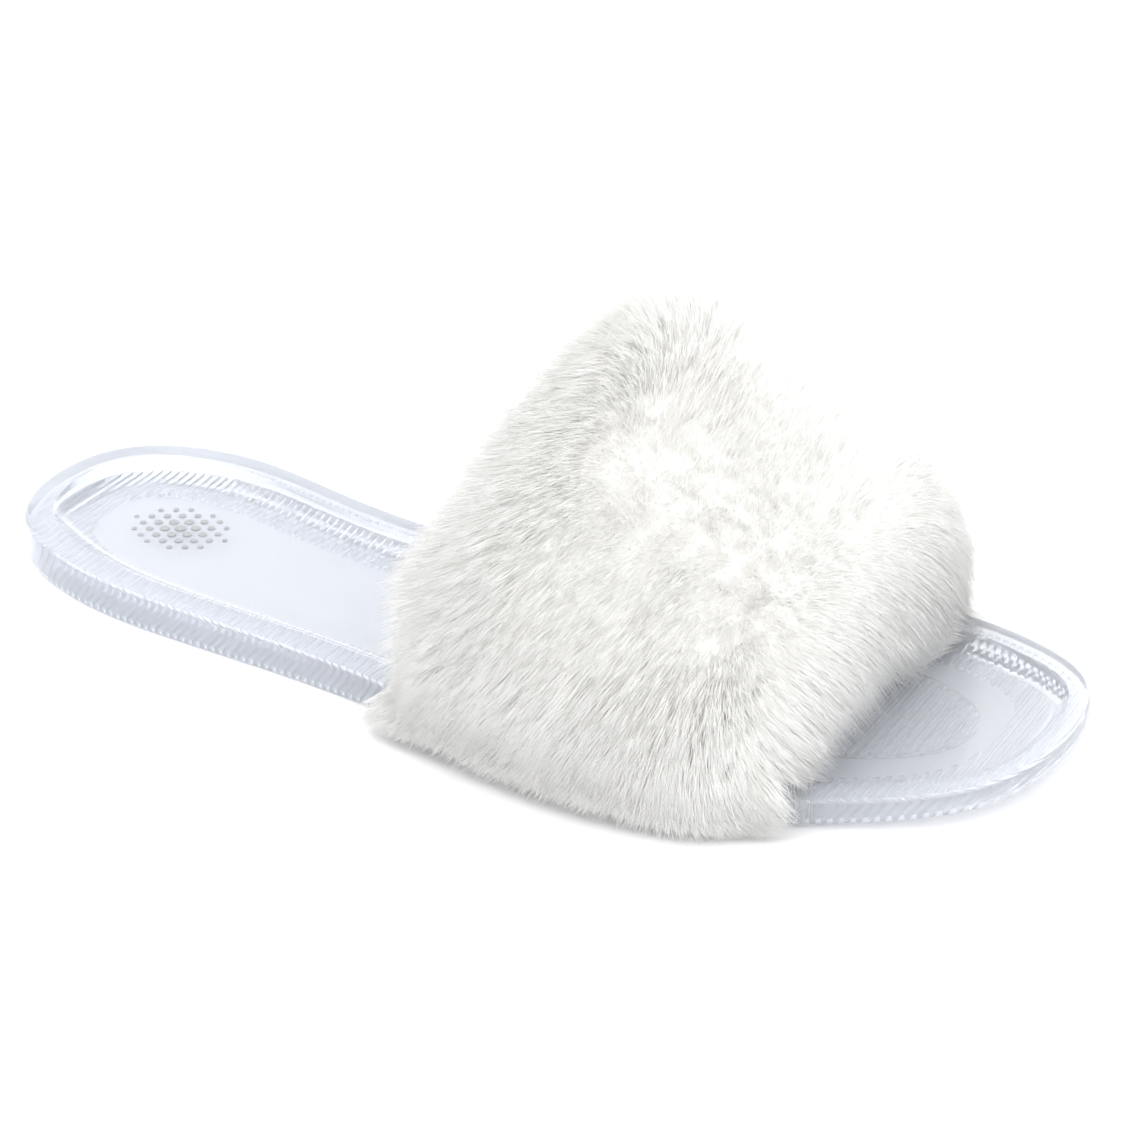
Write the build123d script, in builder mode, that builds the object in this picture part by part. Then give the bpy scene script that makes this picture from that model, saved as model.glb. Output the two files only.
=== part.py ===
from build123d import *
import math
import os

import numpy as np

os.makedirs("parts", exist_ok=True)

# ---------------------------------------------------------------- dimensions
# Right-foot open-toe, open-back slipper.  +X toe, +Y inner (medial) side,
# +Z up, millimetres, origin at the bottom centre of the whole object's box.
SHIFT_X = 129.556       # outline X (heel = 0) of the object's centre
SHIFT_Y = -0.975         # outline Y of the object's centre

RIM_HEEL = 9.19         # rim height above the floor at the heel
RIM_FALL = 4.20         # how much lower the rim is at the toe, over 258 mm
FLOOR_HEEL = 4.90       # footbed height at the heel
FLOOR_FALL = 2.75       # how much lower the footbed is at the toe
SPRING_START = 190.0    # toe spring: the sole leaves the floor here
SPRING_RISE = 4.18      # rise at X = 258
RIM_BAND = 9.3          # top band of the rim, to the middle of the sloping wall's upper half
WALL_FOOT = 14.3        # where the inner wall meets the footbed
TREAD_BAND = 15.5       # width of the ribbed band under the edge
TREAD_RECESS = 0.8      # depth of the smooth underside between the ribbed areas

STRAP_BACK = 130.0      # strap's rear edge at the rim
STRAP_LEN = 73.0        # strap's width along the sole
TILT_BACK = 26.0        # forward lean of the rear edge, degrees
TILT_FRONT = 15.0       # forward lean of the front edge
RISE_BACK = 75.4        # outer strap height over the rim, rear edge
RISE_MID = 52.3
RISE_FRONT = 27.8

LINING_T = 1.0
CORE_T = 1.6
FOAM_T = 2.5
BACKING_T = 1.0
GAP = 0.05              # glue-line gap between the strap's layers
TAB_DEPTH = 3.9         # how deep the strap's ends sit in the rim
PILE = 18.0             # standing height of the fur pile
BIND_T = 0.6
BIND_W = 7.0

# sole outline, heel at X = 0, smooth closed curve
OUTLINE = [
    (1.3, 3.4), (7.0, 23.0), (28.4, 33.6), (70.2, 28.4), (115.1, 26.4), (159.9, 39.7),
    (199.9, 48.7), (232.4, 44.0), (253.3, 28.5), (257.9, 4.7), (250.3, -19.9), (226.6, -36.9),
    (193.5, -49.3), (154.0, -48.2), (111.7, -41.1), (70.4, -37.9), (29.1, -31.4), (7.2, -16.4),
]
# ribbed pad under the ball of the foot
PAD = [
    (141.0, 2.0), (146.0, 15.5), (161.0, 23.5), (184.0, 27.5), (207.0, 26.5), (226.0, 21.0),
    (236.5, 10.0), (235.5, -1.0), (225.0, -10.5), (205.0, -17.5), (180.0, -21.0), (156.0, -17.5), (145.0, -9.0),
]


def at(x, y, z=0.0):
    return (x - SHIFT_X, y - SHIFT_Y, z)


def spring(x):
    return SPRING_RISE * (max(0.0, x - SPRING_START) / 68.0) ** 2


def rim_z(x):
    return RIM_HEEL - RIM_FALL * x / 258.0 + spring(x)


def floor_z(x):
    return FLOOR_HEEL - FLOOR_FALL * x / 258.0 + spring(x)


def closed_curve(points, n):
    """Evenly dense points on a smooth closed curve through the points."""
    edge = Edge.make_spline([Vector(x, y, 0) for x, y in points], periodic=True)
    out = [edge.position_at(i / n) for i in range(n)]
    return np.array([(p.X, p.Y) for p in out])


outline_fine = closed_curve(OUTLINE, 1440)


def inset(distance, n=72):
    """Points of the outline moved inwards by a distance."""
    nxt, prv = np.roll(outline_fine, -1, 0), np.roll(outline_fine, 1, 0)
    tangent = (nxt - prv) / np.linalg.norm(nxt - prv, axis=1)[:, None]
    area = np.sum(outline_fine[:, 0] * nxt[:, 1] - nxt[:, 0] * outline_fine[:, 1])
    inward = np.c_[-tangent[:, 1], tangent[:, 0]] * (1 if area > 0 else -1)
    step = len(outline_fine) // n
    return [tuple(p) for p in (outline_fine + inward * distance)[::step]]


def edge_distance(x, y):
    d = np.hypot(outline_fine[:, 0] - x, outline_fine[:, 1] - y)
    return float(d.min())



def profile(height, n=12):
    """Side-view points (x, z) of a height function along the whole sole."""
    xs = [-10.0, 100.0, SPRING_START]
    xs += [SPRING_START + (268 - SPRING_START) * i / n for i in range(1, n + 1)]
    return [(x - SHIFT_X, height(x)) for x in xs]


def end_slope(points):
    (x0, z0), (x1, z1) = points[-2], points[-1]
    return (x1 - x0, z1 - z0)


# ---------------------------------------------------------------- sole tools
with BuildPart() as upper_dish:
    with BuildSketch(Plane.XY.offset(-1)):
        with BuildLine():
            Spline(*[at(x, y)[:2] for x, y in inset(RIM_BAND, 36)], periodic=True)
        make_face()
    extrude(amount=30)
    with BuildSketch(Plane.XZ.offset(70)):
        with BuildLine():
            low = profile(lambda x: 0.55 * rim_z(x) + 0.45 * floor_z(x))
            mid_fall = (0.55 * RIM_FALL + 0.45 * FLOOR_FALL) / 258
            Line(low[0], low[2])
            Spline(*low[2:], tangents=[(1, -mid_fall), end_slope(low)])
            Polyline(low[-1], (low[-1][0], 40), (low[0][0], 40), low[0])
        make_face()
    extrude(amount=-140, mode=Mode.INTERSECT)

with BuildPart() as lower_dish:
    with BuildSketch(Plane.XY.offset(-1)):
        with BuildLine():
            Spline(*[at(x, y)[:2] for x, y in inset(WALL_FOOT, 36)], periodic=True)
        make_face()
    extrude(amount=30)
    with BuildSketch(Plane.XZ.offset(70)):
        with BuildLine():
            low = profile(floor_z)
            Line(low[0], low[2])
            Spline(*low[2:], tangents=[(1, -FLOOR_FALL / 258), end_slope(low)])
            Polyline(low[-1], (low[-1][0], 40), (low[0][0], 40), low[0])
        make_face()
    extrude(amount=-140, mode=Mode.INTERSECT)

# smooth underside between the ribbed edge band and the ribbed ball pad
with BuildPart() as recess:
    with BuildSketch(Plane.XY.offset(-1)):
        with BuildLine():
            Spline(*[at(x, y)[:2] for x, y in inset(TREAD_BAND, 36)], periodic=True)
        make_face()
        with BuildLine():
            Spline(*[at(x, y)[:2] for x, y in PAD], periodic=True)
        make_face(mode=Mode.SUBTRACT)
    extrude(amount=12)
    with BuildSketch(Plane.XZ.offset(70)):
        with BuildLine():
            high = profile(lambda x: spring(x) + TREAD_RECESS)
            back = end_slope(high)
            Spline(*high[2:][::-1], tangents=[(-back[0], -back[1]), (-1, 0)])
            Polyline(high[2], high[0], (high[0][0], -5), (high[-1][0], -5), high[-1])
        make_face()
    extrude(amount=-140, mode=Mode.INTERSECT)


# ---------------------------------------------------------------- strap geometry
outline_near = outline_fine[outline_fine[:, 1] < -2]
outline_near = outline_near[np.argsort(outline_near[:, 0])]
outline_far = outline_fine[outline_fine[:, 1] > 2]
outline_far = outline_far[np.argsort(outline_far[:, 0])]

ARCH_SAMPLES = 17       # points on each arch line
ARCH_POWER = 2.5        # superellipse power of the arch: 2 is an ellipse, larger is squarer


def rise(s):
    return RISE_BACK * (1 - s) * (1 - 2 * s) + RISE_MID * 4 * s * (1 - s) + RISE_FRONT * s * (2 * s - 1)


def station(s):
    """Sketch plane across the strap: s = 0 rear edge, 1 front edge. Local x is +Y, local y climbs the strap."""
    lean = math.radians(TILT_BACK + (TILT_FRONT - TILT_BACK) * s)
    x = STRAP_BACK + STRAP_LEN * s
    return Plane(
        origin=at(x, SHIFT_Y, rim_z(x)),
        x_dir=(0, 1, 0),
        z_dir=(math.cos(lean), 0, -math.sin(lean)),
    )


def arch_points(s, t):
    """Arch line at station s, moved outwards by t, from the outer (near) foot over the top to the inner foot."""
    x = min(max(STRAP_BACK + STRAP_LEN * s, 60.0), 225.0)
    near = float(np.interp(x, outline_near[:, 0], outline_near[:, 1])) + 0.3
    far = float(np.interp(x, outline_far[:, 0], outline_far[:, 1])) - 0.3
    centre, half, high = (near + far) / 2, (far - near) / 2, rise(s)
    angle = np.linspace(0.0, math.pi, 1201)
    across = -np.sign(np.cos(angle)) * np.abs(np.cos(angle)) ** (2 / ARCH_POWER)
    up = np.sin(angle) ** (2 / ARCH_POWER)
    line = np.c_[centre + across * half + 1.9 * up, up * high]
    length = np.r_[0.0, np.cumsum(np.linalg.norm(np.diff(line, axis=0), axis=1))]
    out = []
    for want in np.linspace(0.0, length[-1], ARCH_SAMPLES):
        low, high_end = max(want - 1.5, 0.0), min(want + 1.5, length[-1])
        p0, p1, mid = (np.array([np.interp(w, length, line[:, k]) for k in (0, 1)]) for w in (low, high_end, want))
        along = (p1 - p0) / np.linalg.norm(p1 - p0)
        out.append((mid[0] - along[1] * t, mid[1] + along[0] * t))
    out[0], out[-1] = (line[0][0] - t, 0.0), (line[-1][0] + t, 0.0)
    return [(float(p[0] - SHIFT_Y), float(p[1])) for p in out]


def arch_section(s, t_in, t_out, foot):
    """Closed band between two offsets of the arch, its feet at height foot."""
    outer, inner = arch_points(s, t_out), arch_points(s, t_in)
    if foot >= 0:
        for line in (outer, inner):
            line[0], line[-1] = (line[0][0], foot), (line[-1][0], foot)
    with BuildSketch(station(s)) as sk:
        with BuildLine():
            Spline(*outer)
            if foot >= 0:
                Line(outer[-1], inner[-1])
            else:
                Polyline(outer[-1], (outer[-1][0], foot), (inner[-1][0], foot), inner[-1])
            Spline(*inner[::-1])
            if foot >= 0:
                Line(inner[0], outer[0])
            else:
                Polyline(inner[0], (inner[0][0], foot), (outer[0][0], foot), outer[0])
        make_face()
    return sk.sketch.faces()[0]


STATIONS = (0.0, 0.25, 0.5, 0.75, 1.0)
T_BACKING = (-BACKING_T, 0.0)
T_FOAM = (-BACKING_T - GAP - FOAM_T, -BACKING_T - GAP)
T_CORE = (T_FOAM[0] - GAP - CORE_T, T_FOAM[0] - GAP)
T_LINING = (T_CORE[0] - GAP - LINING_T, T_CORE[0] - GAP)

with BuildPart() as strap_core:
    loft([arch_section(s, *T_CORE, -TAB_DEPTH) for s in STATIONS])

with BuildPart() as strap_lining:
    loft([arch_section(s, *T_LINING, 0.25) for s in STATIONS])

with BuildPart() as strap_foam:
    loft([arch_section(s, *T_FOAM, 0.25) for s in STATIONS])

with BuildPart() as fur_backing:
    loft([arch_section(s, *T_BACKING, 0.25) for s in STATIONS])

# slot in the rim that the strap's ends are cemented into, 0.12 mm clear all round
with BuildPart() as slot_tool:
    loft([arch_section(s, T_CORE[0] - 0.12, T_CORE[1] + 0.12, -TAB_DEPTH - 0.12) for s in (-0.002, 0.25, 0.5, 0.75, 1.002)])

with BuildPart() as sole_unit:
    with BuildSketch(Plane.XY.offset(-1)):
        with BuildLine():
            Spline(*[at(x, y)[:2] for x, y in OUTLINE], periodic=True)
        make_face()
    extrude(amount=22)
    with BuildSketch(Plane.XZ.offset(70)):
        with BuildLine():
            low, high = profile(spring), profile(rim_z)
            Line(low[0], low[2])
            Spline(*low[2:], tangents=[(1, 0), end_slope(low)])
            Line(low[-1], high[-1])
            back = end_slope(high)
            Spline(*high[2:][::-1], tangents=[(-back[0], -back[1]), (-1, RIM_FALL / 258)])
            Line(high[2], high[0])
            Line(high[0], low[0])
        make_face()
    extrude(amount=-140, mode=Mode.INTERSECT)
    add(upper_dish.part, mode=Mode.SUBTRACT)
    add(lower_dish.part, mode=Mode.SUBTRACT)
    add(recess.part, mode=Mode.SUBTRACT)
    add(slot_tool.part, mode=Mode.SUBTRACT)

# ---------------------------------------------------------------- edge tapes
T_WRAP = (T_LINING[0] - 0.12 - BIND_T, 0.12 + BIND_T)
edge_s = (BIND_T + GAP) / STRAP_LEN
WRAP_CLEAR = 0.17       # the tape stands this clear of the layers it wraps
wide_s = BIND_W / STRAP_LEN

with BuildPart() as rear_edge_tape:
    loft([arch_section(s, *T_WRAP, 0.3) for s in (-edge_s, wide_s / 2, wide_s)])
    loft([arch_section(s, T_LINING[0] - WRAP_CLEAR, WRAP_CLEAR, 0.0) for s in (-WRAP_CLEAR / STRAP_LEN, wide_s / 2, wide_s + 0.02)], mode=Mode.SUBTRACT)

with BuildPart() as front_edge_tape:
    loft([arch_section(s, *T_WRAP, 0.3) for s in (1 - wide_s, 1 - wide_s / 2, 1 + edge_s)])
    loft([arch_section(s, T_LINING[0] - WRAP_CLEAR, WRAP_CLEAR, 0.0) for s in (1 - wide_s - 0.02, 1 - wide_s / 2, 1 + WRAP_CLEAR / STRAP_LEN)], mode=Mode.SUBTRACT)


# ---------------------------------------------------------------- topstitching on the foot side
STITCH_LEN, STITCH_D, STITCH_STEP = 2.6, 0.5, 3.8


def stitch_places(s, t):
    """Locations along the arch at station s, spaced a stitch apart, local x along the seam."""
    line = Edge.make_spline([Vector(*p, 0) for p in arch_points(s, t)], tangents=[Vector(0, 1, 0), Vector(0, -1, 0)])
    count = int((line.length - 8) / STITCH_STEP)
    plane = station(s)
    places = []
    for i in range(count):
        u = (4 + (i + 0.5) * (line.length - 8) / count) / line.length
        point, along = line.position_at(u), line.tangent_at(u)
        origin = plane.from_local_coords(Vector(point.X, point.Y, 0))
        ahead = plane.from_local_coords(Vector(point.X + along.X, point.Y + along.Y, 0)) - origin
        places.append(Plane(origin=origin, x_dir=plane.z_dir, z_dir=ahead))
    return places


with BuildPart() as rear_topstitch:
    for place in stitch_places(4.6 / STRAP_LEN, T_WRAP[0] - 0.5):
        with BuildSketch(place.offset(-STITCH_LEN / 2)):
            Circle(STITCH_D / 2)
        extrude(amount=STITCH_LEN)

with BuildPart() as front_topstitch:
    for place in stitch_places(1 - 4.6 / STRAP_LEN, T_WRAP[0] - 0.5):
        with BuildSketch(place.offset(-STITCH_LEN / 2)):
            Circle(STITCH_D / 2)
        extrude(amount=STITCH_LEN)

# ---------------------------------------------------------------- fur pile (plain soft solid)
FUR = [
    (-0.20, 4.0), (-0.12, 11.0), (0.0, 16.0), (0.25, PILE), (0.5, PILE), (0.75, PILE), (1.0, 17.2), (1.12, 13.5), (1.21, 5.0),
]
with BuildPart() as sole_envelope:
    with BuildSketch(Plane.XY.offset(-2)):
        with BuildLine():
            Spline(*[at(x, y)[:2] for x, y in inset(-0.5, 36)], periodic=True)
        make_face()
    extrude(amount=22)
    with BuildSketch(Plane.XZ.offset(80)):
        with BuildLine():
            low = profile(lambda x: rim_z(x) + 0.5)
            back = end_slope(low)
            Spline(*low[2:][::-1], tangents=[(-back[0], -back[1]), (-1, RIM_FALL / 258)])
            Polyline(low[2], low[0], (low[0][0], -5), (low[-1][0], -5), low[-1])
        make_face()
    extrude(amount=-160, mode=Mode.INTERSECT)

with BuildPart() as fur_pile:
    loft([arch_section(s, T_WRAP[1] + 0.15, t, -13.0) for s, t in FUR])
    with BuildSketch(Plane.XY.offset(-60)):
        Rectangle(400, 400)
    extrude(amount=60.8, mode=Mode.SUBTRACT)
    add(sole_envelope.part, mode=Mode.SUBTRACT)

# ---------------------------------------------------------------- heel print: a patch of plain dots
DOT_STEP, DOT_T = 3.6, 0.15
slope = math.degrees(math.atan(FLOOR_FALL / 258))
heel_plane = Plane(origin=at(39.0, 1.0, floor_z(39.0) + 0.03), z_dir=(math.sin(math.radians(slope)), 0, math.cos(math.radians(slope))), x_dir=(1, 0, 0))
dots = []
for i in range(-4, 5):
    for j in range(-5, 6):
        px, py = i * DOT_STEP * 0.866, (j + (i % 2) / 2) * DOT_STEP
        reach = math.hypot(px / 12.5, py / 10.5)
        if reach <= 1.0:
            dots.append((px, py, 1.35 - 0.75 * reach))
with BuildPart() as heel_print:
    for px, py, r in dots:
        with BuildSketch(heel_plane):
            with Locations((px, py)):
                Circle(r)
        extrude(amount=DOT_T)

# ---------------------------------------------------------------- write
sole_unit.part.label = "sole_unit"
export_step(sole_unit.part, "parts/sole_unit.step")
strap_core.part.label = "strap_core"
export_step(strap_core.part, "parts/strap_core.step")
strap_lining.part.label = "strap_lining"
export_step(strap_lining.part, "parts/strap_lining.step")
strap_foam.part.label = "strap_foam"
export_step(strap_foam.part, "parts/strap_foam.step")
fur_backing.part.label = "fur_backing"
export_step(fur_backing.part, "parts/fur_backing.step")
rear_edge_tape.part.label = "rear_edge_tape"
export_step(rear_edge_tape.part, "parts/rear_edge_tape.step")
front_edge_tape.part.label = "front_edge_tape"
export_step(front_edge_tape.part, "parts/front_edge_tape.step")
rear_topstitch.part.label = "rear_topstitch"
export_step(rear_topstitch.part, "parts/rear_topstitch.step")
front_topstitch.part.label = "front_topstitch"
export_step(front_topstitch.part, "parts/front_topstitch.step")
fur_pile.part.label = "fur_pile"
export_step(fur_pile.part, "parts/fur_pile.step")
heel_print.part.label = "heel_print"
export_step(heel_print.part, "parts/heel_print.step")

whole = Compound(children=[p.part for p in (sole_unit, strap_core, strap_lining, strap_foam, fur_backing, rear_edge_tape, front_edge_tape, rear_topstitch, front_topstitch, fur_pile, heel_print)])
box = whole.bounding_box()
print("box", [round(v, 2) for v in (box.min.X, box.min.Y, box.min.Z, box.max.X, box.max.Y, box.max.Z)])
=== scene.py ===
import math

import bmesh
import bpy
import numpy as np
from mathutils import Matrix, Vector
from mathutils.geometry import delaunay_2d_cdt


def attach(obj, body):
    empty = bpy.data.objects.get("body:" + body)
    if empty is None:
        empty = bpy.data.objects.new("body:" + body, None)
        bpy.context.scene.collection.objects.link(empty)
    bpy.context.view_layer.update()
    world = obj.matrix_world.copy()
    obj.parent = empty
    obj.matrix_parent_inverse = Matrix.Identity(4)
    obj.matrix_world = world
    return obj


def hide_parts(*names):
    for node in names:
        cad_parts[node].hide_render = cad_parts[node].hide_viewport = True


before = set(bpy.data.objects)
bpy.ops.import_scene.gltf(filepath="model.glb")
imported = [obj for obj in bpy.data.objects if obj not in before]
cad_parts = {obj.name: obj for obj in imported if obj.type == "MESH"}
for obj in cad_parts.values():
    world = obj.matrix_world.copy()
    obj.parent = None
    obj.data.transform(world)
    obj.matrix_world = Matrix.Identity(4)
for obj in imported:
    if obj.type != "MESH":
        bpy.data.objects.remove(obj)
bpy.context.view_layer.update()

# ------------------------------------------------------------------ frame
# Sole-outline coordinates (mm, heel at X = 0) to the model frame (m).
SX, SY = 129.556, -0.975
MM = 0.001


def to_m(x, y, z):
    return np.stack([(np.asarray(x) - SX) * MM, (np.asarray(y) - SY) * MM, np.asarray(z) * MM], -1)


RIM_HEEL, RIM_FALL = 9.19, 4.20
FLOOR_HEEL, FLOOR_FALL = 4.90, 2.75
SPRING_START, SPRING_RISE = 190.0, 4.18
OUTLINE = np.array([
    (1.3, 3.4), (7.0, 23.0), (28.4, 33.6), (70.2, 28.4), (115.1, 26.4), (159.9, 39.7),
    (199.9, 48.7), (232.4, 44.0), (253.3, 28.5), (257.9, 4.7), (250.3, -19.9), (226.6, -36.9),
    (193.5, -49.3), (154.0, -48.2), (111.7, -41.1), (70.4, -37.9), (29.1, -31.4), (7.2, -16.4)])
PAD = np.array([
    (141.0, 2.0), (146.0, 15.5), (161.0, 23.5), (184.0, 27.5), (207.0, 26.5), (226.0, 21.0),
    (236.5, 10.0), (235.5, -1.0), (225.0, -10.5), (205.0, -17.5), (180.0, -21.0), (156.0, -17.5), (145.0, -9.0)])


def spring(x):
    return SPRING_RISE * (np.maximum(0.0, np.asarray(x, float) - SPRING_START) / 68.0) ** 2


def rim_z(x):
    return RIM_HEEL - RIM_FALL * np.asarray(x, float) / 258.0 + spring(x)


def floor_z(x):
    return FLOOR_HEEL - FLOOR_FALL * np.asarray(x, float) / 258.0 + spring(x)


def periodic_spline(points, n):
    """Points evenly spaced by length on a closed natural C2 curve through the points."""
    P = np.asarray(points, float)
    m = len(P)
    d = np.linalg.norm(np.roll(P, -1, 0) - P, axis=1)
    t = np.r_[0.0, np.cumsum(d)]
    h = d
    A = np.zeros((m, m))
    B = np.zeros((m, 2))
    for i in range(m):
        a, b = (i - 1) % m, (i + 1) % m
        A[i, a] += h[a]
        A[i, i] += 2 * (h[a] + h[i])
        A[i, b] += h[i]
        B[i] = 6 * ((P[b] - P[i]) / h[i] - (P[i] - P[a]) / h[a])
    M = np.linalg.solve(A, B)
    dense = []
    for i in range(m):
        b = (i + 1) % m
        u = np.linspace(0, h[i], 200, endpoint=False)[:, None]
        w = h[i] - u
        dense.append((M[i] * w ** 3 + M[b] * u ** 3) / (6 * h[i]) + (P[i] / h[i] - M[i] * h[i] / 6) * w + (P[b] / h[i] - M[b] * h[i] / 6) * u)
    D = np.vstack(dense)
    D = np.vstack([D, D[:1]])
    L = np.r_[0.0, np.cumsum(np.linalg.norm(np.diff(D, axis=0), axis=1))]
    want = np.linspace(0, L[-1], n, endpoint=False)
    return np.c_[np.interp(want, L, D[:, 0]), np.interp(want, L, D[:, 1])]


N_OUT = 900
OUT = periodic_spline(OUTLINE, N_OUT)
_t = np.roll(OUT, -1, 0) - np.roll(OUT, 1, 0)
_t /= np.linalg.norm(_t, axis=1)[:, None]
INWARD = np.c_[-_t[:, 1], _t[:, 0]]
if np.sum(OUT[:, 0] * np.roll(OUT, -1, 0)[:, 1] - np.roll(OUT, -1, 0)[:, 0] * OUT[:, 1]) < 0:
    INWARD = -INWARD


def inset(d):
    return OUT + INWARD * d


# ------------------------------------------------------------------ small helpers
def smoothstep(a, b, x):
    u = np.clip((np.asarray(x, float) - a) / (b - a), 0.0, 1.0)
    return u * u * (3 - 2 * u)


def new_object(name, verts, faces, material, smooth=True, crease=None):
    mesh = bpy.data.meshes.new(name)
    mesh.from_pydata([tuple(v) for v in verts], [], faces)
    mesh.update()
    obj = bpy.data.objects.new(name, mesh)
    bpy.context.scene.collection.objects.link(obj)
    if smooth:
        mesh.shade_smooth()
        if crease is not None:
            mesh.set_sharp_from_angle(angle=math.radians(crease))
    mesh.materials.append(material)
    return obj


def fast_mesh(name, verts, loops_tri, material, smooth=True):
    """Triangle mesh straight from arrays."""
    mesh = bpy.data.meshes.new(name)
    nv, nt = len(verts), len(loops_tri)
    mesh.vertices.add(nv)
    mesh.vertices.foreach_set("co", np.ascontiguousarray(verts, np.float32).ravel())
    mesh.loops.add(nt * 3)
    mesh.loops.foreach_set("vertex_index", np.ascontiguousarray(loops_tri, np.int32).ravel())
    mesh.polygons.add(nt)
    mesh.polygons.foreach_set("loop_start", np.arange(0, nt * 3, 3, dtype=np.int32))
    mesh.update(calc_edges=True)
    mesh.validate()
    if smooth:
        mesh.shade_smooth()
    obj = bpy.data.objects.new(name, mesh)
    bpy.context.scene.collection.objects.link(obj)
    mesh.materials.append(material)
    return obj


class Mat:
    """A node material with short calls."""

    def __init__(self, name):
        self.m = bpy.data.materials.new(name)
        self.m.use_nodes = True
        self.t = self.m.node_tree
        self.n = self.t.nodes
        self.p = self.n["Principled BSDF"]
        self.out = self.n["Material Output"]

    def node(self, kind, **kw):
        n = self.n.new(kind)
        for k, v in kw.items():
            setattr(n, k, v)
        return n

    def link(self, a, b):
        self.t.links.new(a, b)

    def set(self, **kw):
        for k, v in kw.items():
            self.p.inputs[k.replace("_", " ")].default_value = v

    def coords(self, scale=(1, 1, 1), rot=(0, 0, 0)):
        c = self.node("ShaderNodeTexCoord")
        m = self.node("ShaderNodeMapping")
        m.inputs["Scale"].default_value = scale
        m.inputs["Rotation"].default_value = rot
        self.link(c.outputs["Object"], m.inputs["Vector"])
        return m.outputs["Vector"]

    def noise(self, vec, scale, detail=3.0, rough=0.5):
        n = self.node("ShaderNodeTexNoise")
        n.inputs["Scale"].default_value = scale
        n.inputs["Detail"].default_value = detail
        n.inputs["Roughness"].default_value = rough
        self.link(vec, n.inputs["Vector"])
        return n.outputs["Fac"]

    def ramp(self, fac, stops):
        r = self.node("ShaderNodeValToRGB")
        e = r.color_ramp.elements
        e[0].position, e[0].color = stops[0][0], (*stops[0][1], 1)
        e[1].position, e[1].color = stops[-1][0], (*stops[-1][1], 1)
        for pos, col in stops[1:-1]:
            k = e.new(pos)
            k.color = (*col, 1)
        self.link(fac, r.inputs["Fac"])
        return r.outputs["Color"]

    def bump(self, height, strength, distance):
        b = self.node("ShaderNodeBump")
        b.inputs["Strength"].default_value = strength
        b.inputs["Distance"].default_value = distance
        self.link(height, b.inputs["Height"])
        self.link(b.outputs["Normal"], self.p.inputs["Normal"])


# ------------------------------------------------------------------ camera
# Fitted to the proportions of the sole: azimuth 28.65, elevation 27.99 degrees, 711 mm away.
AZ, EL, DIST = math.radians(28.65), math.radians(27.99), 0.71145
target = Vector(((132.77 - SX) * MM, (18.46 - SY) * MM, 0.010))
back = Vector((math.sin(AZ) * math.cos(EL), -math.cos(AZ) * math.cos(EL), math.sin(EL)))
cam_data = bpy.data.cameras.new("camera")
cam_data.sensor_width = 36.0
cam_data.sensor_fit = "HORIZONTAL"
cam_data.lens = 3155.8 / 1134.0 * 36.0
cam_data.clip_start, cam_data.clip_end = 0.01, 20.0
camera = bpy.data.objects.new("camera", cam_data)
bpy.context.scene.collection.objects.link(camera)
camera.location = target + back * DIST
camera.rotation_euler = (-back).to_track_quat("-Z", "Y").to_euler()
bpy.context.scene.camera = camera

# ------------------------------------------------------------------ clear moulded sole
RIB_PITCH, RIB_W, RIB_DEEP = 2.1, 1.05, 0.9
BAND_OUT, BAND_IN = 2.0, 15.5


def wall_params(x):
    share = np.clip(x / 258.0, 0, 1)
    tip = np.clip((x - 238.0) / 18.0, 0, 1)
    heel = np.clip((30.0 - x) / 30.0, 0, 1)
    band = 7.5 - 0.5 * share - 2.3 * tip - 1.0 * heel
    run = 9.8 - 3.4 * share - 1.6 * tip
    return band, run


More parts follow.
